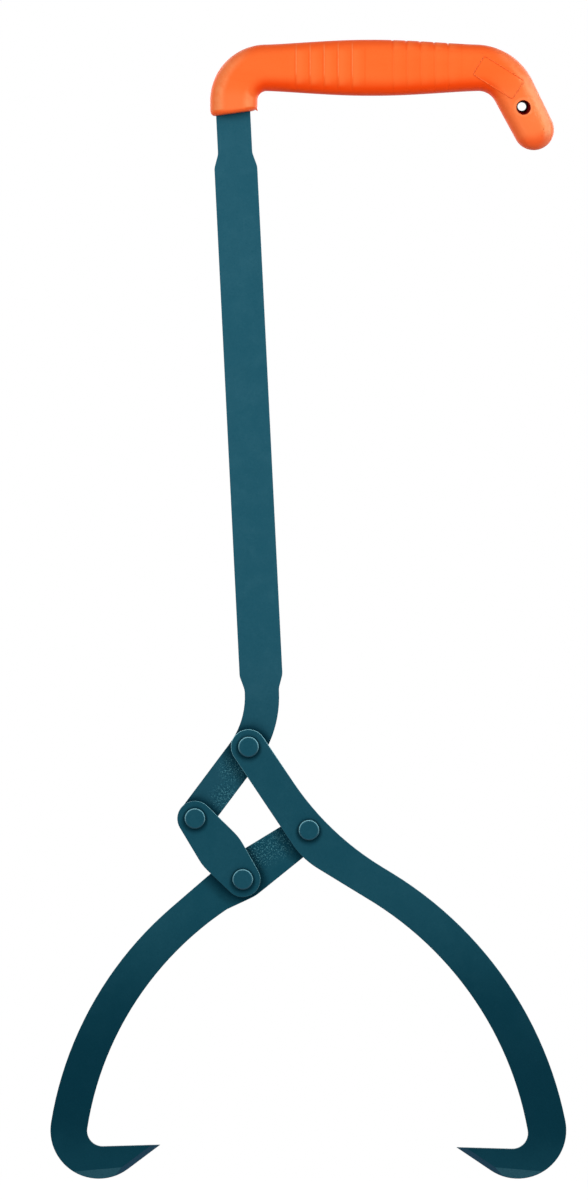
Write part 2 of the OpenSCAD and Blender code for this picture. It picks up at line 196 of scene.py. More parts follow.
def new_material(name):
    m = bpy.data.materials.new(name)
    m.use_nodes = True
    m.node_tree.nodes.clear()
    return m, m.node_tree


def shade(tree, values):
    """Principled surface from its values by socket name."""
    shader = put(tree, "ShaderNodeBsdfPrincipled", values)
    put(tree, "ShaderNodeOutputMaterial", {"Surface": shader.outputs[0]})


# ---------------------------------------------------------------- coat of the steel
# Colours in linear light. The first four are the coat's own, without their opacity.
COAT_DEEP = (0.0070, 0.0670, 0.1000)
COAT_DULL = (0.0140, 0.0820, 0.1190)
COAT_PLAIN = (0.0180, 0.0890, 0.1270)
COAT_PALE = (0.0310, 0.1170, 0.1570)
COAT_SCRATCHED = (0.10, 0.24, 0.30, 1)
COAT_PAINTED_SHADE = (0.0003, 0.0150, 0.0270, 1)
COAT_PAINTED_SHADOW = (0.0002, 0.0090, 0.0180, 1)
COAT_WORN_LIT = (0.20, 0.46, 0.52, 1)
EDGE_PAINTED_SHADE = (0.0008, 0.0180, 0.0320, 1)
HEEL_FACET_LIT = (0.0260, 0.0910, 0.1220, 1)
POINT_FACET_LIT = (0.0220, 0.0540, 0.0960, 1)
BITS_GLINT = (0.085, 0.27, 0.32, 1)
BITS_DARK = (0.002, 0.028, 0.048, 1)

# Stretches along Z over which the coat changes, in metres
UNDER_MOUTH = (-0.030, -0.060)
SHAFT_FOOT = (-0.360, -0.335)
CRANK = (-0.300, -0.390)
ARMS = (-0.443, -0.564)
HOOKS = (-0.590, -0.615)


def painted_steel(
        name, tone=1.0, red=1.0, offset=(0.0, 0.0, 0.0), worn_lit=0.15,
        rubbed_lit=(), patches=(), heads=()):
    """Blue-green coat on flat steel: pitted, wearing away at its edges, with painted highlights and
    painted shade.

    tone and red: brightness of the coat, and of its red alone.
    offset: moves the texture, so that no two pieces have the same marks.
    worn_lit: how far all edges wear away and are painted lighter, as a painted highlight.
    rubbed_lit: places where the edges wear most and are painted lightest, as (centre, radius,
    fade).
    patches: places where the coat is rough, with painted glints, in the same form.
    heads: x and z of the rivet heads that stand on this plate, round and below which a shadow is
    painted.
    """
    m, t = new_material(name)
    place = put(t, "ShaderNodeTexCoord").outputs["Object"]
    where = vector_node(t, "ADD", place, offset)[0]
    cloud = noise(t, where, 16.0, 5.0, 0.6)
    blotch = noise(t, where, 120.0, 4.0, 0.6)
    grain = noise(t, where, 950.0, 3.0, 0.7)
    speck = noise(t, where, 2100.0, 1.0, 0.5)

    deep, dull, plain, pale = (
        (r * tone * red, g * tone, b * tone, 1)
        for r, g, b in (COAT_DEEP, COAT_DULL, COAT_PLAIN, COAT_PALE))
    colour = mix_colour(t, ramp(t, cloud, 0.34, 0.66), dull, plain)
    colour = mix_colour(t, times(t, ramp(t, blotch, 0.42, 0.78), 0.25), colour, pale)
    colour = mix_colour(t, times(t, ramp(t, grain, 0.55, 0.80), 0.45), colour, pale)
    colour = mix_colour(t, times(t, ramp(t, grain, 0.46, 0.24), 0.55), colour, deep)

    # Long fine scratches that run down the shaft
    z = parts_of(t, place)["Z"]
    scratch = noise(t, stretch(t, where, (900.0, 900.0, 16.0)), 1.0, 2.0, 0.6)
    scratch = times(
        t, ramp(t, scratch, 0.70, 0.76), ramp(t, cloud, 0.48, 0.60), ramp(t, z, *SHAFT_FOOT), 0.30)
    colour = mix_colour(t, scratch, colour, COAT_SCRATCHED)

    # Painted shade: the coat is painted darker down the crank, and darker still down the arms
    # towards the hooks, where the light falls off
    uneven = times(t, math_node(t, "SUBTRACT", cloud, 0.5), 0.05)
    drift = math_node(t, "ADD", z, uneven)
    colour = mix_colour(t, ramp(t, drift, *CRANK, 0.0, 0.30), colour, COAT_PAINTED_SHADE)
    arm_painted_shade = times(t, ramp(t, drift, *ARMS, 0.0, 0.85), ramp(t, drift, *HOOKS, 1.0, 0.66))
    colour = mix_colour(t, arm_painted_shade, colour, COAT_PAINTED_SHADE)

    # Facets ground into the hooks, shaded flat, each painted in its own paler, greyer colour as a
    # painted reflection of the light from below
    surface = put(t, "ShaderNodeNewGeometry")
    lean = math_node(t, "ABSOLUTE", parts_of(t, surface.outputs["True Normal"])["Y"])
    ground = ramp(t, grain, 0.30, 0.60, 0.60, 0.95)
    normal = surface.outputs["Normal"]
    for leaning, spread, bare in (
            (HEEL_LEAN, 0.004, HEEL_FACET_LIT), (POINT_LEAN, 0.012, POINT_FACET_LIT)):
        facet = put(
            t, "ShaderNodeMath", {0: lean, 1: leaning, 2: spread}, operation="COMPARE").outputs[0]
        colour = mix_colour(t, times(t, facet, ground), colour, bare)
        normal = mix_vector(t, facet, normal, surface.outputs["True Normal"])
    point_facet = facet

    # Painted shade in the corners between the pieces, and a painted shadow round and below the
    # rivet heads
    painted_corner_shade = times(t, crevice(t, 8.0 * MM), ramp(t, z, *UNDER_MOUTH, 0.35, 0.90))
    colour = mix_colour(t, painted_corner_shade, colour, COAT_PAINTED_SHADOW)
    across = flatten(t, place)
    for head_x, head_z in heads:
        ring = near(t, across, (head_x, 0.0, head_z - 0.0015), 0.0052, 0.0034)
        colour = mix_colour(t, times(t, ring, 0.60), colour, COAT_PAINTED_SHADOW)

    # Rounded edges lean further than the facets of the heels, and as far as those of the points.
    # The coat wears away along them, most of all round the joints. Their upper side is painted
    # lighter as a painted highlight, and their lower side darker as painted shade.
    edge = times(t, ramp(t, lean, 0.975, 0.965), ramp(t, lean, 0.30, 0.50))
    edge = math_node(t, "SUBTRACT", edge, point_facet, clamp=True)
    upward = parts_of(t, put(t, "ShaderNodeTexCoord").outputs["Normal"])["Z"]
    lower = times(t, edge, ramp(t, upward, -0.05, -0.50, 0.0, 0.60))
    colour = mix_colour(t, lower, colour, EDGE_PAINTED_SHADE)
    where_worn_lit = near_any(t, place, rubbed_lit, worn_lit)
    where_worn_lit = times(t, where_worn_lit, ramp(t, upward, -0.50, 0.20, 0.10, 1.0))
    worn_lit_edge = times(t, edge, ramp(t, blotch, 0.30, 0.50, 0.75, 1.0), where_worn_lit)
    colour = mix_colour(t, worn_lit_edge, colour, COAT_WORN_LIT)

    height = math_node(t, "ADD", times(t, grain, 0.7), times(t, speck, 0.3))
    # Rough patches: raised pale specks, painted lighter as painted glints, with dark specks of the
    # coat between them
    if patches:
        rough_patch = near_any(t, place, patches, 0.0)
        bits = noise(t, where, 1150.0, 2.0, 0.8)
        rough_glint_bits = times(t, rough_patch, ramp(t, bits, 0.54, 0.63))
        dark_bits = times(t, rough_patch, ramp(t, bits, 0.51, 0.40))
        colour = mix_colour(t, times(t, rough_glint_bits, 0.80), colour, BITS_GLINT)
        colour = mix_colour(t, times(t, dark_bits, 0.65), colour, BITS_DARK)
        height = math_node(t, "ADD", height, times(t, rough_glint_bits, 2.0))

    gloss = ramp(t, blotch, 0.25, 0.75, 0.27, 0.38)
    gloss = math_node(t, "ADD", gloss, times(t, ramp(t, grain, 0.35, 0.75), 0.08))
    pits = bump(t, height, 0.55, 0.12 * MM, Normal=normal)
    shade(t, {
        "Base Color": colour, "Roughness": gloss,
        "Normal": bump(t, blotch, 0.35, 0.50 * MM, Normal=pits),
        "Specular IOR Level": 0.25, "Specular Tint": (0.08, 0.70, 1.0, 1),
        "Coat Weight": times(t, edge, where_worn_lit, 0.15), "Coat Roughness": 0.20,
    })
    return m


# ---------------------------------------------------------------- plastic of the grip
ORANGE_DEEP = (0.940, 0.078, 0.0030, 1)
ORANGE_PLAIN = (0.970, 0.146, 0.0245, 1)
ORANGE_PALE = (0.980, 0.173, 0.0370, 1)
ORANGE_CREST_HIGHLIGHT = (0.98, 0.205, 0.052, 1)
ORANGE_PAINTED_LIGHT = (0.98, 0.260, 0.090, 1)
ORANGE_CORNER_HIGHLIGHT = (0.98, 0.330, 0.125, 1)
ORANGE_SCUFF_HIGHLIGHT = (0.98, 0.40, 0.21, 1)
ORANGE_OUTER_HIGHLIGHT = (0.98, 0.430, 0.210, 1)
ORANGE_PAINTED_SHADE = (0.980, 0.060, 0.0012, 1)
ORANGE_SIDE_SHADE = (0.740, 0.050, 0.0040, 1)
ORANGE_DARKER = (0.42, 0.050, 0.0090, 1)
BORE_DARK = (0.090, 0.0015, 0.0020, 1)
BORE_LIGHT = (0.300, 0.0060, 0.0060, 1)


def bands(tree, x, first, pitch):
    """Place within a rib (0 to 1) and a mask over all of them, along x in metres."""
    s = math_node(tree, "DIVIDE", math_node(tree, "SUBTRACT", x, first), pitch)
    inside = times(tree, ramp(tree, s, -0.15, 0.0), ramp(tree, s, RIBS + 0.15, RIBS - 0.1))
    return math_node(tree, "FRACT", s), inside


def moulded_plastic(name, darkening=0.0):
    """Matt orange moulding: fine eroded texture, slight flow marks, and painted highlights and
    shade on ribs, corners and edges.
    """
    m, t = new_material(name)
    where = put(t, "ShaderNodeTexCoord").outputs["Object"]
    cloud = noise(t, where, 14.0, 2.0, 0.5)
    flow = noise(t, stretch(t, where, (20.0, 60.0, 60.0)), 1.0, 3.0)
    grain = noise(t, where, 1500.0, 3.0, 0.65)
    colour = mix_colour(t, ramp(t, cloud, 0.30, 0.70, 0.2, 0.8), ORANGE_PLAIN, ORANGE_PALE)
    colour = mix_colour(t, ramp(t, flow, 0.60, 0.30, 0.0, 0.15), colour, ORANGE_DEEP)
    colour = mix_colour(t, ramp(t, grain, 0.48, 0.25, 0.0, 0.30), colour, ORANGE_DEEP)

    # Painted light: the tail and the mouth are painted paler where more light falls, and the tail's
    # outer side is scuffed and painted with a highlight
    for share, *spot in (
            (0.38, (0.003, 0.0, -0.013), 0.010, 0.030),
            (0.32, (-0.1676, 0.0, 0.001), 0.012, 0.0045)):
        colour = mix_colour(t, times(t, near(t, where, *spot), share), colour, ORANGE_PAINTED_LIGHT)
    bits = ramp(t, noise(t, where, 420.0, 3.0, 0.7), 0.46, 0.66)
    scuff_and_highlight = times(t, near(t, where, (0.012, -0.010, 0.003), 0.003, 0.012), bits, 0.60)
    colour = mix_colour(t, scuff_and_highlight, colour, ORANGE_SCUFF_HIGHLIGHT)

    # Painted highlights, mottled: the rounded corners of the riser and of the tail's outer side are
    # painted pale where the side lights catch them
    facing = parts_of(t, put(t, "ShaderNodeTexCoord").outputs["Normal"])
    aside = math_node(t, "ABSOLUTE", facing["X"])
    corner_highlight = times(
        t, ramp(t, aside, 0.12, 0.42), ramp(t, aside, 0.86, 0.64),
        ramp(t, facing["Z"], -0.20, -0.05),
        ramp(t, noise(t, where, 260.0, 3.0, 0.6), 0.35, 0.60, 0.35, 0.60))
    colour = mix_colour(t, corner_highlight, colour, ORANGE_CORNER_HIGHLIGHT)
    # A stronger painted highlight down the tail's outer side
    outer = times(
        t, ramp(t, facing["X"], 0.30, 0.52), ramp(t, facing["X"], 0.90, 0.74),
        near(t, where, (0.011, 0.0, -0.006), 0.018, 0.014),
        ramp(t, noise(t, where, 260.0, 2.0, 0.5), 0.35, 0.65, 0.52, 0.72))
    colour = mix_colour(t, outer, colour, ORANGE_OUTER_HIGHLIGHT)

    # Painted shade: deeper orange where the surface faces down, apart from the mouth and the tail,
    # and a little where it faces up; darker still where it turns side-on along the parting line
    mouth = times(t, near(t, where, (-0.1676, 0.0, -0.004), 0.016, 0.006), 0.45)
    tail = times(t, near(t, where, (0.002, 0.0, -0.010), 0.018, 0.014), 0.40)
    away_from_mouth_and_tail = math_node(t, "SUBTRACT", 1.0, math_node(t, "MAXIMUM", mouth, tail))
    facing_down_shade = times(t, ramp(t, facing["Z"], -0.10, -0.65), 0.92, away_from_mouth_and_tail)
    over = times(t, ramp(t, facing["Z"], 0.30, 0.85), 0.35)
    colour = mix_colour(t, math_node(t, "MAXIMUM", facing_down_shade, over), colour, ORANGE_PAINTED_SHADE)
    # Painted shade where the surface turns side-on, near the parting line
    parting = times(
        t, ramp(t, math_node(t, "ABSOLUTE", facing["Y"]), 0.30, 0.05),
        math_node(t, "SUBTRACT", 0.45, times(t, facing_down_shade, 0.32)))
    colour = mix_colour(t, parting, colour, ORANGE_SIDE_SHADE)

    # Painted shade and highlight on the ribs: a dark line in each hollow and a lighter crest beside
    # it. The left ones show on the faces, and the right ones mostly on the top edge.
    axes = parts_of(t, where)
    on_face = ramp(t, math_node(t, "ABSOLUTE", axes["Y"]), 0.0095, 0.0112)
    on_top = ramp(t, axes["Z"], 0.031, 0.034)
    for first, pitch, face, top in (
            (LEFT_FIRST, LEFT_PITCH, 1.0, 0.0), (RIGHT_FIRST, RIGHT_PITCH, 0.30, 1.0)):
        k, inside = bands(t, axes["X"], first * MM, pitch * MM)
        seen = math_node(t, "MAXIMUM", times(t, on_face, face), times(t, on_top, top))
        seen = times(t, seen, inside)
        line = math_node(t, "MAXIMUM", ramp(t, k, 0.86, 1.0), ramp(t, k, 0.10, 0.0))
        crest = times(t, ramp(t, k, 0.06, 0.20), ramp(t, k, 0.85, 0.25))
        colour = mix_colour(t, times(t, line, seen, 0.38), colour, ORANGE_DEEP)
        colour = mix_colour(t, times(t, crest, seen, 0.40), colour, ORANGE_CREST_HIGHLIGHT)

    # Painted highlight on the rim of the hanging hole
    rim = near(t, flatten(t, where), (0.0006, 0.0, -0.0007), 0.0053, 0.0006)
    colour = mix_colour(t, times(t, rim, 0.55), colour, ORANGE_PAINTED_LIGHT)
    # Darker all over by the given share, for the panel line and the flash
    if darkening:
        colour = mix_colour(t, darkening, colour, ORANGE_DARKER)

    fine = bump(t, grain, 0.12, 0.10 * MM)
    shade(t, {
        "Base Color": colour, "Roughness": ramp(t, flow, 0.30, 0.70, 0.42, 0.52),
        "Normal": bump(t, cloud, 0.20, 0.80 * MM, Normal=fine),
        "Specular IOR Level": 0.08, "Specular Tint": (1.0, 0.70, 0.40, 1),
    })
    return m


def shaded_bore(name):
    """Matt deep red inside the hanging hole: painted shade, mottled, over rings from the mould's
    tool marks.
    """
    m, t = new_material(name)
    where = put(t, "ShaderNodeTexCoord").outputs["Object"]
    mottle = noise(t, where, 700.0, 3.0, 0.6)
    rings = noise(t, stretch(t, where, (40.0, 1800.0, 40.0)), 1.0, 2.0)
    shade(t, {
        "Base Color": mix_colour(t, ramp(t, mottle, 0.35, 0.65), BORE_DARK, BORE_LIGHT),
        "Roughness": ramp(t, mottle, 0.30, 0.70, 0.80, 0.95),
        "Normal": bump(t, rings, 0.40, 0.10 * MM),
        "Specular IOR Level": 0.0,
    })
    return m


# ---------------------------------------------------------------- steel parts
def head_place(rivet):
    """x and z of a rivet's middle."""
    low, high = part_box(rivet)
    return (low.x + high.x) / 2, (low.z + high.z) / 2


MATERIALS = {
    "handle_bar": painted_steel(
        "coat_bar",
        patches=[((-0.1685, 0.0, -0.386), 0.003, 0.008), ((-0.1725, 0.0, -0.402), 0.003, 0.009)]),
    "right_arm": painted_steel(
        "coat_right_arm", tone=0.96, red=0.85, offset=(0.7, 0.2, 0.1),
        rubbed_lit=[((-0.158, 0.0, -0.375), 0.014, 0.02)],
        heads=[head_place("top_rivet"), head_place("cross_rivet")]),
    "left_arm": painted_steel(
        "coat_left_arm", tone=0.95, red=0.8, offset=(0.1, 0.9, 0.4),
        patches=[((-0.1515, 0.0, -0.4325), 0.004, 0.010), ((-0.141, 0.0, -0.428), 0.004, 0.009)]),
    "link": painted_steel(
        "coat_link", tone=0.97, red=0.85, offset=(0.4, 0.1, 0.8), worn_lit=0.20,
        rubbed_lit=[((-0.180, 0.0, -0.408), 0.008, 0.012), ((-0.152, 0.0, -0.443), 0.010, 0.012)],
        heads=[head_place("link_upper_rivet"), head_place("link_lower_rivet")]),
}
rivet_coat = painted_steel("coat_rivets", tone=1.02, red=0.85, offset=(0.3, 0.6, 0.2), worn_lit=1.0)
for name in RIVETS:
    MATERIALS[name] = rivet_coat


def dress_steel(node, width):
    """Material, and edges rounded as a thick coat leaves them, width in metres."""
    obj = nodes[node]
    obj.data.materials.clear()
    obj.data.materials.append(MATERIALS[node])
    weld = obj.modifiers.new("weld", "WELD")
    weld.merge_threshold = 0.005 * MM
    flat = obj.modifiers.new("whole_faces", "DECIMATE")
    flat.decimate_type = "DISSOLVE"
    flat.angle_limit = math.radians(0.3)
    bevel = obj.modifiers.new("round_edges", "BEVEL")
    bevel.width = width
    bevel.segments = 3
    bevel.limit_method = "ANGLE"
    bevel.angle_limit = math.radians(40)
    bevel.use_clamp_overlap = True
    normals = obj.modifiers.new("face_normals", "WEIGHTED_NORMAL")
    normals.keep_sharp = False
    normals.weight = 100


for name in PLATES:
    dress_steel(name, 0.55 * MM)
for name in RIVETS:
    dress_steel(name, 0.35 * MM)


# ---------------------------------------------------------------- grip
# The same values as in the part's source, in millimetres and degrees
TAIL_ANGLE, TAIL_R, RISER_R = 62.8, 24.0, 19.0
END_H, CROWN, RISER_H, TAIL_H, HALF_T = 13.5, 2.8, 13.8, 11.8, 12.15
MOUTH_SLOPE, SQUARE = 7.8, 2.6
MOUTH_ROUND = 3.0
SHAFT_ANGLE, SHAFT_SHIFT = -87.16, 1.7
NECK_HALF, TANG_HALF, TANG_END = 10.0, 7.0, 9.0
PLAY, HALF_POCKET, POCKET_DEPTH = 0.03, 2.53, 45

TAIL_TAPER = 0.6

# Steps along the grip, close together at the mouth's rim
MOUTH_STEPS = (0, 0.012, 0.035, 0.08, 0.14, 0.21, 0.29, 0.38, 0.5, 0.65, 0.8, 0.9)
BEND_STEPS, RIB_STEPS, TAIL_STEPS, TIP_STEPS = 34, 300, 26, 24


def heading(a):
    return Vector((math.cos(math.radians(a)), math.sin(math.radians(a))))


TAIL_DIR = 180 - TAIL_ANGLE
TAIL_BEND = 25.4 * heading(TAIL_DIR)
TAIL_END = -15.2 * heading(TAIL_DIR)
RISER_BEND = TAIL_BEND - Vector((156.0, 0.0))
MOUTH = RISER_BEND - Vector((0.0, 26.6))
X0 = RISER_BEND.x + RISER_R
X1 = TAIL_BEND.x - TAIL_R * math.tan(math.radians(TAIL_ANGLE / 2))
C0 = Vector((X0, RISER_BEND.y - RISER_R))
C1 = Vector((X1, TAIL_BEND.y - TAIL_R))
BEND_END = C1 + TAIL_R * heading(90 - TAIL_ANGLE)
RIGHT_HOLLOWS = [RIGHT_FIRST + RIGHT_PITCH * i for i in range(RIBS)]


def steps(n):
    return [i / n for i in range(n)]


def grip_stations():
    """[centre, section's angle, half height, half thickness] from the mouth to the tail's tip."""
    out = []
    for k in MOUTH_STEPS:
        centre = MOUTH.lerp(Vector((MOUTH.x, C0.y)), k)
        out.append((centre, 180 + MOUTH_SLOPE * (1 - k), RISER_H, HALF_T))
    for k in steps(BEND_STEPS):
        a = 180 - 90 * k
        half = END_H + (RISER_H - END_H) * (1 - k)
        out.append((C0 + RISER_R * heading(a), a, half, HALF_T))
    for k in steps(RIB_STEPS):
        half = END_H + CROWN * math.sin(math.pi * k) ** 1.3
        out.append((Vector((X0 + (X1 - X0) * k, RISER_BEND.y)), 90.0, half, HALF_T))
    for k in steps(BEND_STEPS):
        a = 90 - k * TAIL_ANGLE
        half = END_H + (TAIL_H + TAIL_TAPER - END_H) * k
        out.append((C1 + TAIL_R * heading(a), a, half, HALF_T))
    for k in steps(TAIL_STEPS):
        half = TAIL_H + TAIL_TAPER * (1 - k)
        out.append((BEND_END.lerp(TAIL_END, k), 90 - TAIL_ANGLE, half, HALF_T))
    for i in range(TIP_STEPS):
        a = math.radians(90 * i / TIP_STEPS)
        centre = TAIL_END - TAIL_H * math.sin(a) * heading(TAIL_DIR)
        out.append((centre, 90 - TAIL_ANGLE, TAIL_H * math.cos(a), HALF_T * math.cos(a)))
    return out


def section():
    """Points (c, y) of the unit rounded box section, closest together at its narrow ends."""
    low = [0, .02, .04, .06, .09, .13, .18, .24, .31, .39, .47, .55, .63, .71, .78, .84, .89, .93]
    high = (.44, .37, .30, .23, .16, .08)
    quarter = [((1 - y ** SQUARE) ** (1 / SQUARE), y) for y in low]
    quarter += [(c, (1 - c ** SQUARE) ** (1 / SQUARE)) for c in high]
    ring = quarter + [(0.0, 1.0)]
    ring += [(-c, y) for c, y in reversed(quarter)]
    ring += [(c, -y) for c, y in reversed(ring[1:-1])]
    return ring


def smooth(x, low, high):
    k = min(1.0, max(0.0, (x - low) / (high - low)))
    return k * k * (3 - 2 * k)


def hollow(x, places, half):
    """1 in the bottom of a hollow between two ribs, 0 on top of a rib."""
    return max(max(0.0, 1 - abs(x - p) / half) ** 2 for p in places)


def saw(x, first, pitch):
    """Ribs, steep on the left with a long right slope: 0 on a crest, 1 in a hollow, 0 outside."""
    steep = 0.14
    s = (x - first) / pitch
    if s < -0.5 or s > RIBS:
        return 0.0
    if s < 0:
        return smooth(s, -0.5, 0.0)
    k = s % 1.0
    if k < steep:
        return 1 - smooth(k, 0.0, steep)
    fall = ((k - steep) / (1 - steep)) ** 0.8
    return fall * (1 - smooth(s, RIBS - 0.75, RIBS)) if s > RIBS - 1 else fall


def inset(centre, angle, c, y):
    """How far the grip's surface lies inside its plain section, in millimetres."""
    d = 0.0
    side = abs(y)
    if X0 < centre.x < X1 and angle > 89:
        # Broad ribs on both faces
        on_face = smooth(side, 0.30, 0.75)
        broad = 0.38 * saw(centre.x, LEFT_FIRST, LEFT_PITCH) * on_face
        d += broad * smooth(c, -0.96, -0.70)
        # Fine ribs over the top edge, faint on the faces
        fine = hollow(centre.x, RIGHT_HOLLOWS, 1.3) * smooth(c, 0.70, 0.97) * 0.40
        d += max(fine, 0.20 * saw(centre.x, RIGHT_FIRST, RIGHT_PITCH) * on_face)
    # Parting line along the inner and the outer side
    line = 0.10
    if side < line:
        depth = 0.34 if c < 0 else 0.16
        d += depth * (1 - side / line)
    return d


def bridge(bm, r0, r1):
    """Faces between two closed rows of the same number of vertices."""
    n = len(r0)
    for i in range(n):
        k = (i + 1) % n
        bm.faces.new((r0[i], r0[k], r1[k], r1[i]))


def to_mesh(bm, name):
    bmesh.ops.recalc_face_normals(bm, faces=bm.faces)
    mesh = bpy.data.meshes.new(name)
    bm.to_mesh(mesh)
    bm.free()
    return mesh


def build_grip():
    ring = section()
    stations = grip_stations()
    bm = bmesh.new()
    rows = []
    start = stations[0][0]
    for centre, angle, half, thick in stations:
        axis = heading(angle)
        # The rim of the mouth is rounded
        on_riser = centre.y < C0.y and centre.x < X0 - RISER_R + 1
        s = min((centre - start).length, MOUTH_ROUND) if on_riser else MOUTH_ROUND
        e = MOUTH_ROUND - math.sqrt(max(0.0, MOUTH_ROUND ** 2 - (MOUTH_ROUND - s) ** 2))
        half, thick = half - e, thick - e
        row = []
        for c, y in ring:
            nc = math.copysign(abs(c) ** (SQUARE - 1), c) / max(half, 1e-6)
            ny = math.copysign(abs(y) ** (SQUARE - 1), y) / max(thick, 1e-6)
            norm = math.hypot(nc, ny)
            d = min(inset(centre, angle, c, y), half * 0.2)
            q = centre + (half * c - d * nc / norm) * axis
            row.append(bm.verts.new((q.x * MM, (thick * y - d * ny / norm) * MM, q.y * MM)))
        rows.append(row)
    tip = TAIL_END - TAIL_H * heading(TAIL_DIR)
    tip = bm.verts.new((tip.x * MM, 0, tip.y * MM))
    for r0, r1 in zip(rows, rows[1:]):
        bridge(bm, r0, r1)
    n = len(ring)
    for i in range(n):
        bm.faces.new((rows[-1][i], rows[-1][(i + 1) % n], tip))
    bm.faces.new(list(reversed(rows[0])))
    return to_mesh(bm, "grip_moulding")


def corner(a, b, c, r, n=16):
    """Points of the corner b between a and c, rounded with radius r."""
    u, v = (a - b).normalized(), (c - b).normalized()
    half = u.angle(v) / 2
    o = b + (u + v).normalized() * r / math.sin(half)
    p, q = b + u * r / math.tan(half) - o, b + v * r / math.tan(half) - o
    a0, a1 = math.atan2(p.y, p.x), math.atan2(q.y, q.x)
    turn = (a1 - a0 + math.pi) % (2 * math.pi) - math.pi
    angles = [a0 + turn * i / n for i in range(n + 1)]
    return [o + r * Vector((math.cos(a), math.sin(a))) for a in angles]


def prism(name, outline, y0, y1):
    """Closed plate over a flat outline, in millimetres."""
    bm = bmesh.new()
    low = [bm.verts.new((p.x * MM, y0 * MM, p.y * MM)) for p in outline]
    high = [bm.verts.new((p.x * MM, y1 * MM, p.y * MM)) for p in outline]
    bm.faces.new(low)
    bm.faces.new(list(reversed(high)))
    n = len(outline)
    for i in range(n):
        bm.faces.new((low[i], high[i], high[(i + 1) % n], low[(i + 1) % n]))
    return to_mesh(bm, name)


def cross_at(p, a, q, b):
    """Where the line through p with heading a meets the line through q with heading b."""
    u, v, w = heading(a), heading(b), q - p
    return p + u * (w.x * v.y - w.y * v.x) / (u.x * v.y - u.y * v.x)


def pocket_outline(g):
    """Outline of the handle bar inside the grip, moved out by g."""
    shaft = heading(SHAFT_ANGLE)
    shaft_top = RISER_BEND - Vector((SHAFT_SHIFT, 0.0))
    left = Vector((-heading(TAIL_DIR).y, heading(TAIL_DIR).x))
    edges = []
    for side in (1, -1):
        neck = NECK_HALF + g
        start = -(TANG_END + g) * heading(TAIL_DIR) + side * (TANG_HALF + g) * left
        level = TAIL_BEND - Vector((0.0, side * neck))
        bend = cross_at(start, TAIL_DIR, level, 0.0)
        across = side * neck * Vector((-shaft.y, shaft.x))
        low = shaft_top + POCKET_DEPTH * shaft + across
        top = cross_at(low, SHAFT_ANGLE, level, 0.0)
        edges.append(
            [start] + corner(start, bend, top, TAIL_R - side * neck)
            + corner(bend, top, low, RISER_R - side * neck) + [low])
    return edges[0] + list(reversed(edges[1]))


# The hanging hole has a rounded rim and narrows to the middle, as the two halves of the mould
# leave it: [radius, y] in millimetres
HOLE = [
    (5.60, -13.5), (5.20, -12.6), (4.55, -12.15), (4.20, -11.8), (4.02, -11.3), (3.95, -10.5),
    (2.95, -2.6), (2.95, 2.6),
    (3.95, 10.5), (4.02, 11.3), (4.20, 11.8), (4.55, 12.15), (5.20, 12.6), (5.60, 13.5),
]
# Its front half runs aslant, as the mould's pin left it: by HOLE_SLANT over SLANT_LENGTH, from
# HOLE_WAIST in front of the middle
HOLE_WAIST, SLANT_LENGTH, HOLE_SLANT = 2.6, 9.6, Vector((0.87, -0.97))
BORE_REACH = 4.6


def hole_centre(y):
    """x and z of the hanging hole's middle at y, in millimetres."""
    return HOLE_SLANT * min(1.0, max(0.0, (-y - HOLE_WAIST) / SLANT_LENGTH))


def lathe(name, profile, n=64):
    """Closed body round the hanging hole's axis from [radius, y] points, in millimetres."""
    bm = bmesh.new()
    rows = []
    for r, y in profile:
        middle = hole_centre(y)
        row = []
        for i in range(n):
            a = 2 * math.pi * i / n
            x, z = middle.x + r * math.cos(a), middle.y + r * math.sin(a)
            row.append(bm.verts.new((x * MM, y * MM, z * MM)))
        rows.append(row)
    for r0, r1 in zip(rows, rows[1:]):
        bridge(bm, r0, r1)
    bm.faces.new(rows[0])
    bm.faces.new(list(reversed(rows[-1])))
    return to_mesh(bm, name)


def cut(obj, meshes):
    """Takes the closed meshes away from obj for good."""
    cutters = []
    for mesh in meshes:
        c = add_object(mesh.name, mesh)
        mod = obj.modifiers.new(mesh.name, "BOOLEAN")
        mod.operation, mod.solver, mod.object = "DIFFERENCE", "EXACT", c
        cutters.append(c)
    bpy.context.view_layer.update()
    done = bpy.data.meshes.new_from_object(obj.evaluated_get(bpy.context.evaluated_depsgraph_get()))
    obj.modifiers.clear()
    old, obj.data = obj.data, done
    bpy.data.meshes.remove(old)
    for c in cutters:
        mesh = c.data
        bpy.data.objects.remove(c)
        bpy.data.meshes.remove(mesh)


def smooth_faces(mesh, angle):
    """Smooth shading, with edges sharper than angle kept sharp."""
    for p in mesh.polygons:
        p.use_smooth = True
    mesh.set_sharp_from_angle(angle=math.radians(angle))


grip = add_object("grip_moulding", build_grip())
pocket = prism("bar_pocket", pocket_outline(PLAY), -HALF_POCKET, HALF_POCKET)
cut(grip, [pocket, lathe("hang_hole", HOLE)])
smooth_faces(grip.data, 38)
grip.data.materials.clear()
grip.data.materials.append(moulded_plastic("orange_moulding"))
grip.data.materials.append(shaded_bore("orange_bore"))
for p in grip.data.polygons:
    middle = hole_centre(p.center.y / MM) * MM
    off_axis = math.hypot(p.center.x - middle.x, p.center.z - middle.y)
    p.material_index = 1 if off_axis < BORE_REACH * MM and abs(p.normal.y) < 0.6 else 0
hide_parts("grip")
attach(grip, "handle")


# ---------------------------------------------------------------- bare panel on the tail's bend
# Sizes in millimetres
PANEL_MIDDLE, PANEL_ANGLE = Vector((-13.7, 16.5)), -32.0
PANEL_HALF_LENGTH, PANEL_HALF_WIDTH, PANEL_ROUND = 13.6, 6.3, 1.2
LINE_WIDTH, LINE_HEIGHT = 0.65, 0.32

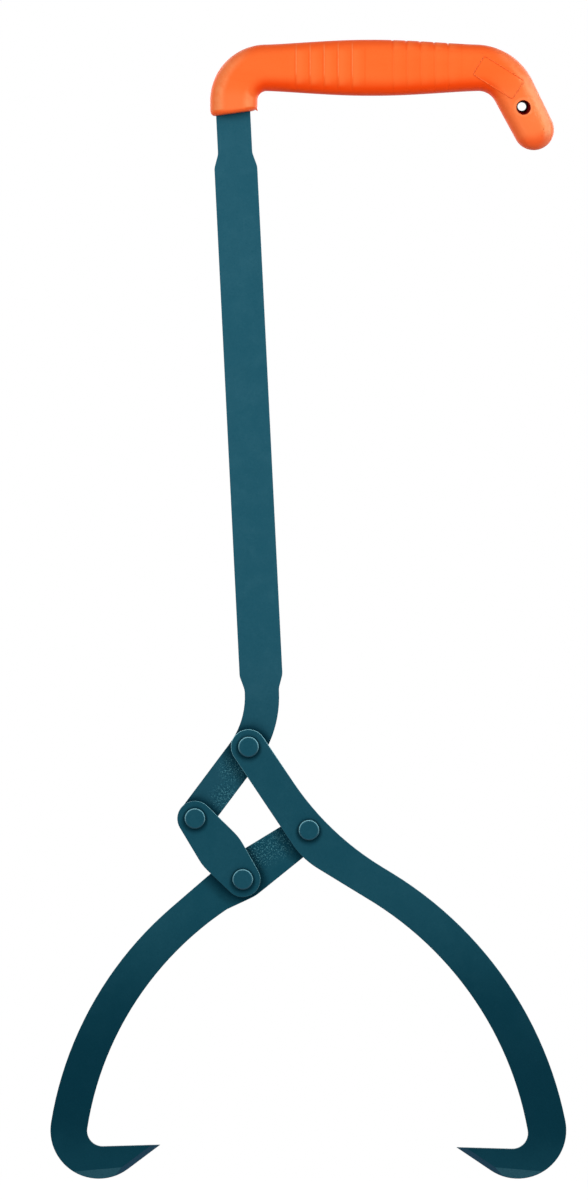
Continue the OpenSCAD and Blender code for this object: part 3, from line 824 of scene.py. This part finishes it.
# Section of the line, in parts of its width and height. Its foot lies in the grip.
LINE_SHAPE = (
    (-0.5, -0.35), (-0.5, 0.0), (-0.32, 0.75), (0.0, 1.0), (0.32, 0.75), (0.5, 0.0), (0.5, -0.35))


def on_grip(tree, x, z, side):
    """Where a line along Y meets the grip at x, z in millimetres, and the normal there."""
    origin = Vector((x * MM, side * 0.05, z * MM))
    hit, normal, _, _ = tree.ray_cast(origin, Vector((0, -side, 0)))
    return hit, normal


def panel_path():
    """Points round the panel with the direction outwards, about half a millimetre apart."""
    long, wide = PANEL_HALF_LENGTH - PANEL_ROUND, PANEL_HALF_WIDTH - PANEL_ROUND
    path = []
    for cx, cy, a0 in ((long, wide, 0), (-long, wide, 90), (-long, -wide, 180), (long, -wide, 270)):
        for i in range(9):
            d = heading(a0 + 90 * i / 8)
            path.append((Vector((cx, cy)) + PANEL_ROUND * d, d))
    dense = []
    for (p, d), (q, e) in zip(path, path[1:] + path[:1]):
        n = max(1, int((q - p).length / 0.5))
        dense += [(p.lerp(q, i / n), d.lerp(e, i / n).normalized()) for i in range(n)]
    return dense


def panel_frame(name, side):
    """Thin raised line round a bare oblong panel, which follows the grip's surface."""
    tree = BVHTree.FromObject(grip, bpy.context.evaluated_depsgraph_get())
    u, v = heading(PANEL_ANGLE), heading(PANEL_ANGLE + 90)
    bm = bmesh.new()
    rows = []
    for p, d in panel_path():
        row = []
        for w, h in LINE_SHAPE:
            q = p + w * LINE_WIDTH * d
            q = PANEL_MIDDLE + q.x * u + q.y * v
            hit, normal = on_grip(tree, q.x, q.y, side)
            row.append(bm.verts.new(hit + normal * LINE_HEIGHT * h * MM))
        rows.append(row)
    for r0, r1 in zip(rows, rows[1:] + rows[:1]):
        bridge(bm, r0, r1)
    mesh = to_mesh(bm, name)
    smooth_faces(mesh, 60)
    mesh.materials.append(line_coat)
    obj = add_object(name, mesh)
    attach(obj, "handle")


line_coat = moulded_plastic("orange_line", 0.16)
panel_frame("panel_line_front", -1)
panel_frame("panel_line_back", 1)


# ---------------------------------------------------------------- flash at the mouth's inner corner
def flash_fin(name, outline, half):
    """Thin fin of plastic on the parting line, thinner at its tip."""
    mesh = prism(name, [Vector(p) for p in outline], -half, half)
    tip = min(v.co.z for v in mesh.vertices)
    for v in mesh.vertices:
        if v.co.z < tip + 0.4 * MM:
            v.co.y *= 0.35
    smooth_faces(mesh, 30)
    mesh.materials.append(moulded_plastic("orange_flash", 0.30))
    obj = add_object(name, mesh)
    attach(obj, "handle")


corner_x = MOUTH.x + RISER_H
corner_z = MOUTH.y + RISER_H * math.tan(math.radians(MOUTH_SLOPE))
flash_fin("mouth_flash", [
    (corner_x - 1.8, corner_z + 1.3), (corner_x - 0.7, corner_z + 1.9),
    (corner_x - 0.35, corner_z + 1.2), (corner_x - 0.05, corner_z + 0.3),
    (corner_x + 0.1, corner_z - 0.6), (corner_x - 0.45, corner_z - 0.2),
    (corner_x - 1.2, corner_z + 0.3), (corner_x - 1.9, corner_z + 0.5)], 0.4)


# ---------------------------------------------------------------- floor, world and lights
# The floor is just below the lowest point that the hooks reach in their travel. It is white where
# it is seen from afar, and lets the object's shadow show close by.
FLOOR_Z = -0.6745
FLOOR_HALF = 6.0
FLOOR_LIT = 0.45
FLOOR_SHADOWED, FLOOR_BASE = 0.34, 0.78
WORLD_FILL = 0.22


def grey(level):
    return (level, level, level, 1)


def shown_plain(tree):
    """1 for the rays that show the background: camera, glossy and transmission."""
    p = put(tree, "ShaderNodeLightPath")
    both = math_node(tree, "MAXIMUM", p.outputs["Is Camera Ray"], p.outputs["Is Glossy Ray"])
    return math_node(tree, "MAXIMUM", both, p.outputs["Is Transmission Ray"])


def mix_shader(tree, fac, a, b):
    return put(tree, "ShaderNodeMixShader", {0: fac, 1: a, 2: b}).outputs[0]


floor_material, ft = new_material("pale_floor")
away = near(ft, put(ft, "ShaderNodeTexCoord").outputs["Object"], (-0.13, 0.0, FLOOR_Z), 0.35, 0.9)
lit = put(ft, "ShaderNodeBsdfDiffuse", {"Color": grey(FLOOR_LIT)}).outputs[0]
soft_lit = put(ft, "ShaderNodeBsdfDiffuse", {"Color": grey(FLOOR_SHADOWED)}).outputs[0]
white = put(ft, "ShaderNodeEmission", {"Color": grey(1), "Strength": 1.0}).outputs[0]
base = put(ft, "ShaderNodeEmission", {"Color": grey(1), "Strength": FLOOR_BASE}).outputs[0]
close = put(ft, "ShaderNodeAddShader", {0: soft_lit, 1: base}).outputs[0]
shown = mix_shader(ft, shown_plain(ft), lit, mix_shader(ft, away, white, close))
put(ft, "ShaderNodeOutputMaterial", {"Surface": shown})

bm = bmesh.new()
bmesh.ops.create_grid(bm, x_segments=8, y_segments=8, size=FLOOR_HALF)
for v in bm.verts:
    v.co.z = FLOOR_Z
floor_mesh = bpy.data.meshes.new("floor")
bm.to_mesh(floor_mesh)
bm.free()
floor_mesh.materials.append(floor_material)
floor = add_object("floor", floor_mesh)

world = bpy.data.worlds.new("studio")
world.use_nodes = True
wt = world.node_tree
wt.nodes.clear()
strength = ramp(wt, shown_plain(wt), 0.0, 1.0, WORLD_FILL, 1.0)
sky = put(wt, "ShaderNodeBackground", {"Color": grey(1), "Strength": strength})
put(wt, "ShaderNodeOutputWorld", {"Surface": sky.outputs[0]})
bpy.context.scene.world = world


def softbox(name, place, aim, size, power):
    """Area light of size in metres and power in watts, turned to aim."""
    data = bpy.data.lights.new(name, "AREA")
    data.shape = "RECTANGLE"
    data.size, data.size_y = size
    data.energy = power
    obj = add_object(name, data)
    obj.location = place
    obj.rotation_euler = (Vector(aim) - Vector(place)).to_track_quat("-Z", "Y").to_euler()
    obj.visible_camera = False


softbox("key_left", (-0.84, -0.76, 0.10), (-0.15, 0.0, -0.12), (0.35, 0.5), 5.9)
softbox("key_right", (0.62, -0.74, 0.18), (-0.12, 0.0, -0.12), (0.35, 0.5), 7.85)
softbox("back_left", (-0.9, 1.1, 0.3), (-0.13, 0.0, -0.25), (1.3, 1.3), 11.0)
softbox("back_right", (0.7, 1.1, 0.3), (-0.13, 0.0, -0.25), (1.3, 1.3), 11.0)
